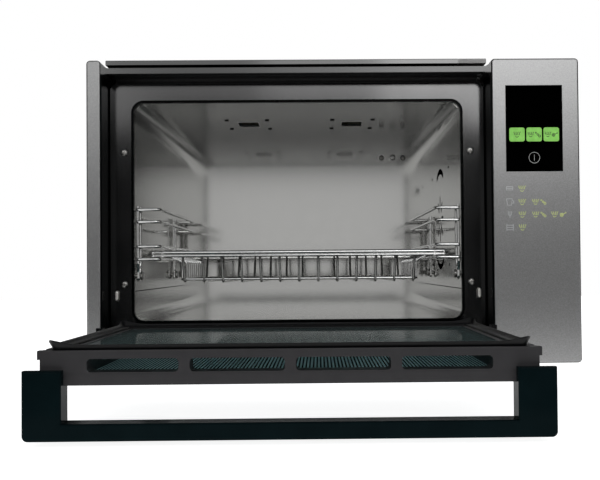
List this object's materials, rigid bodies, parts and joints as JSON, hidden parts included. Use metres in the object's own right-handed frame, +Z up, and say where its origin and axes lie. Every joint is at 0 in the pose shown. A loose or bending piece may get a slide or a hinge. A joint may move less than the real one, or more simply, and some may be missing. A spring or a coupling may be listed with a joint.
{
  "type": "countertop oven",
  "caption": "Countertop fan oven with a drop-down glass door, a steel cavity with wire ladders and a basket, and a silver touch control panel",
  "frame": {"origin": "on the table, under the middle of the oven with its door open", "axes": "+X to the right, +Y to the back, +Z up"},
  "size_m": [0.52, 0.6844, 0.356],
  "materials": {
    "silver_trim": "satin silver metallic",
    "black_gloss": "moulded, high gloss",
    "black_enamel": "glossy enamel",
    "charcoal_strip": "satin moulded",
    "touch_panel": "black touch screen",
    "stainless": "satin, nearly mirror",
    "chrome_wire": "polished",
    "plated_screw": "zinc plated",
    "galvanised": "galvanised sheet",
    "cover_paint": "fine texture, charcoal",
    "door_glass": "clear",
    "dark_glass": "tinted, teal lines",
    "black_rubber": "silicone rubber",
    "foot_rubber": "moulded",
    "blanket": "glass wool",
    "board_green": "circuit board",
    "white_nylon": "moulded",
    "motor_lamination": "stacked sheet",
    "heater_sheath": "heat-tinted",
    "fan_plastic": "moulded"
  },
  "bodies": {
    "cabinet": {"base_pan": "galvanised", "outer_cover": "cover_paint", "rear_panel": "galvanised", "rear_screws": "plated_screw", "top_lid": "black_gloss", "top_vent_strip": "charcoal_strip", "left_post": "black_gloss", "left_trim": "silver_trim", "control_bezel": "black_gloss", "control_fascia": "silver_trim", "touch_glass": "touch_panel", "display_board": "board_green", "main_board": "board_green", "board_standoffs": "white_nylon", "terminal_block": "white_nylon", "cord_gland": "fan_plastic", "cooler_frame": "fan_plastic", "front_surround": "black_gloss", "front_frame": "black_enamel", "opening_bead": "black_enamel", "cavity_screws": "plated_screw", "cavity_wrap": "stainless", "cavity_floor": "stainless", "cavity_back": "stainless", "temperature_sensor": "stainless", "ceiling_vent_left": "galvanised", "ceiling_vent_right": "galvanised", "top_insulation": "blanket", "side_insulation": "blanket", "fan_chamber": "galvanised", "ring_heater": "heater_sheath", "motor_bracket": "galvanised", "fan_motor": "motor_lamination", "thermal_cutout": "white_nylon", "left_ladder": "chrome_wire", "right_ladder": "chrome_wire", "ladder_screws": "plated_screw", "hinge_pin_left": "plated_screw", "hinge_pin_right": "plated_screw", "buffer_housing_left": "fan_plastic", "buffer_housing_right": "fan_plastic", "foot_front_left": "foot_rubber", "foot_front_right": "foot_rubber", "foot_rear_left": "foot_rubber", "foot_rear_right": "foot_rubber", "foot_screws": "plated_screw"},
    "door": {"door_outer_glass": "dark_glass", "door_frame": "charcoal_strip", "door_inner_glass": "door_glass", "door_gasket": "black_rubber", "door_handle": "black_gloss", "handle_screws": "plated_screw", "hinge_arm_left": "black_enamel", "hinge_arm_right": "black_enamel"},
    "basket": {"wire_basket": "chrome_wire"},
    "convection_fan": {"fan_shaft": "plated_screw", "fan_impeller": "galvanised"},
    "cooling_fan": {"cooler_impeller": "fan_plastic"},
    "buffer_left": {"buffer_pin_left": "chrome_wire"},
    "buffer_right": {"buffer_pin_right": "chrome_wire"}
  },
  "joints": [
    {"name": "door_hinge", "type": "hinge", "parent": "cabinet", "child": "door", "pos_m": [-0.03885, -0.0588, 0.0561], "axis": [1, 0, 0], "range_deg": [-90, 0]},
    {"name": "basket_slide", "type": "slide", "parent": "cabinet", "child": "basket", "axis": [0, -1, 0], "range_m": [0, 0.25]},
    {"name": "fan_spin", "type": "hinge", "parent": "cabinet", "child": "convection_fan", "pos_m": [0.1414, 0.1617, 0.197], "axis": [1, 0, 0], "continuous": true},
    {"name": "cooler_spin", "type": "hinge", "parent": "cabinet", "child": "cooling_fan", "pos_m": [0.2, 0.3362, 0.298], "axis": [0, 1, 0], "continuous": true},
    {"name": "buffer_left_press", "type": "slide", "parent": "cabinet", "child": "buffer_left", "axis": [0, 1, 0], "range_m": [0, 0.003], "stiffness_N_per_m": 300},
    {"name": "buffer_right_press", "type": "slide", "parent": "cabinet", "child": "buffer_right", "axis": [0, 1, 0], "range_m": [0, 0.003], "stiffness_N_per_m": 300}
  ]
}
